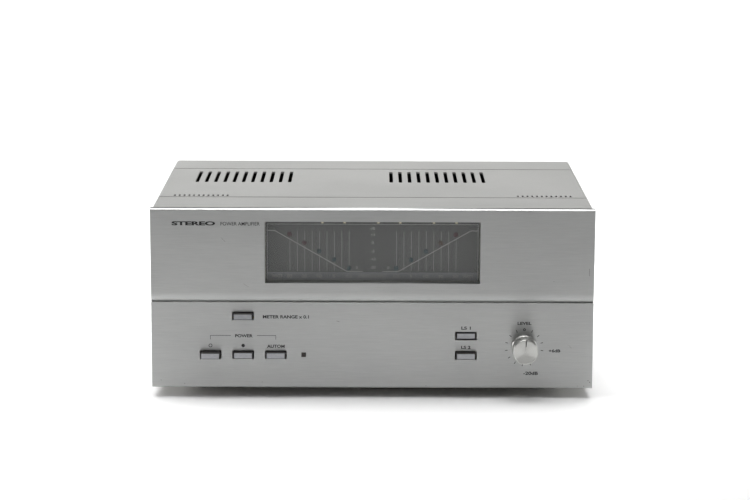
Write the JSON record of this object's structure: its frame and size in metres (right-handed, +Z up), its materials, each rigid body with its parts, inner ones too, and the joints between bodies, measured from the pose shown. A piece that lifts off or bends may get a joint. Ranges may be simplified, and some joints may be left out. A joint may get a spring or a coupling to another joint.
{
  "type": "power amplifier",
  "caption": "Stereo power amplifier: brushed aluminium front with LED power meter, push buttons and level knob, sheet steel case, finned rear heatsink, signal and loudspeaker sockets.",
  "frame": {"origin": "on the surface under the feet, centred under the whole unit with knob and heatsink", "axes": "+X to the right seen from the front, +Y from the front panel to the rear, +Z up"},
  "size_m": [0.27, 0.2288, 0.1174],
  "materials": {
    "panel_aluminium": "brushed along its length, clear anodised",
    "turned_aluminium": "turned, circular brushed face",
    "button_metal": "satin plated caps",
    "cover_paint": "fine textured silver grey paint",
    "rear_paint": "fine textured black paint",
    "plated_steel": "zinc plated sheet",
    "screw_steel": "plated",
    "heatsink_black": "black anodised extrusion",
    "smoked_pane": "smoked acrylic, polished",
    "clip_brass": "bright",
    "black_plastic": "moulded",
    "switch_plastic": "moulded",
    "socket_plastic": "moulded",
    "scale_grey": "matt print",
    "circuit_board": "paper laminate with solder resist",
    "lamp_red": "diffusing lens, unlit",
    "lamp_orange": "diffusing lens, unlit",
    "lamp_green": "diffusing lens, unlit",
    "lamp_dark": "dark lens, unlit",
    "core_steel": "varnished laminations",
    "winding_tape": "taped coil on a bobbin",
    "capacitor_sleeve": "shrink sleeve",
    "relay_case": "clear grey case",
    "fuse_glass": "glass tube",
    "resistor_coat": "lacquered",
    "foot_rubber": "matt"
  },
  "bodies": {
    "root": {"amplifier_board": "circuit_board", "board_fuses": "fuse_glass", "board_standoffs": "plated_steel", "bridge_rectifier": "black_plastic", "chassis_tray": "plated_steel", "cover_screws": "screw_steel", "din_input_socket": "socket_plastic", "foot_front_left": "foot_rubber", "foot_front_right": "foot_rubber", "foot_rear_left": "foot_rubber", "foot_rear_right": "foot_rubber", "foot_screws": "screw_steel", "front_frame": "plated_steel", "front_panel": "panel_aluminium", "heatsink": "heatsink_black", "inner_screws": "screw_steel", "level_nut": "plated_steel", "level_pot": "plated_steel", "mains_fuse_holder": "socket_plastic", "mains_inlet": "socket_plastic", "meter_board": "circuit_board", "meter_housing": "black_plastic", "meter_leds_green": "lamp_green", "meter_leds_orange": "lamp_orange", "meter_leds_red": "lamp_red", "meter_range_switch": "switch_plastic", "meter_scale_plate": "scale_grey", "meter_window": "smoked_pane", "output_transistors": "black_plastic", "phono_sockets": "socket_plastic", "power_led": "lamp_dark", "power_switch_bank": "switch_plastic", "rear_panel": "rear_paint", "rear_panel_screws": "screw_steel", "reservoir_capacitors": "capacitor_sleeve", "resistors": "resistor_coat", "small_capacitors": "capacitor_sleeve", "speaker_relay": "relay_case", "speaker_sockets": "socket_plastic", "speaker_switch_bank": "switch_plastic", "switch_brackets": "plated_steel", "top_cover": "cover_paint", "transformer_bracket": "plated_steel", "transformer_core": "core_steel", "transformer_winding": "winding_tape", "window_clips": "clip_brass"},
    "power_off_button": {"power_off_cap": "button_metal", "power_off_plunger": "switch_plastic"},
    "power_on_button": {"power_on_cap": "button_metal", "power_on_plunger": "switch_plastic"},
    "power_auto_button": {"power_auto_cap": "button_metal", "power_auto_plunger": "switch_plastic"},
    "meter_range_button": {"meter_range_cap": "button_metal", "meter_range_plunger": "switch_plastic"},
    "speaker_1_button": {"speaker_1_cap": "button_metal", "speaker_1_plunger": "switch_plastic"},
    "speaker_2_button": {"speaker_2_cap": "button_metal", "speaker_2_plunger": "switch_plastic"},
    "level_control": {"level_knob": "turned_aluminium", "level_shaft": "plated_steel"}
  },
  "joints": [
    {"name": "power_off_press", "type": "slide", "parent": "root", "child": "power_off_button", "axis": [0, 1, 0], "range_m": [0, 0.004], "stiffness_N_per_m": 300, "springref_m": -0.002},
    {"name": "power_on_press", "type": "slide", "parent": "root", "child": "power_on_button", "axis": [0, 1, 0], "range_m": [0, 0.0033], "stiffness_N_per_m": 300, "springref_m": -0.002},
    {"name": "power_auto_press", "type": "slide", "parent": "root", "child": "power_auto_button", "axis": [0, 1, 0], "range_m": [0, 0.0033], "stiffness_N_per_m": 300, "springref_m": -0.002},
    {"name": "meter_range_press", "type": "slide", "parent": "root", "child": "meter_range_button", "axis": [0, 1, 0], "range_m": [0, 0.0033], "stiffness_N_per_m": 300, "springref_m": -0.002},
    {"name": "speaker_1_press", "type": "slide", "parent": "root", "child": "speaker_1_button", "axis": [0, 1, 0], "range_m": [-0.0032, 0.0005]},
    {"name": "speaker_2_press", "type": "slide", "parent": "root", "child": "speaker_2_button", "axis": [0, 1, 0], "range_m": [0, 0.0037], "stiffness_N_per_m": 300, "springref_m": -0.002},
    {"name": "level_turn", "type": "hinge", "parent": "root", "child": "level_control", "pos_m": [0.093, -0.1006, 0.0318], "axis": [0, 1, 0], "range_deg": [-205, 95]}
  ]
}
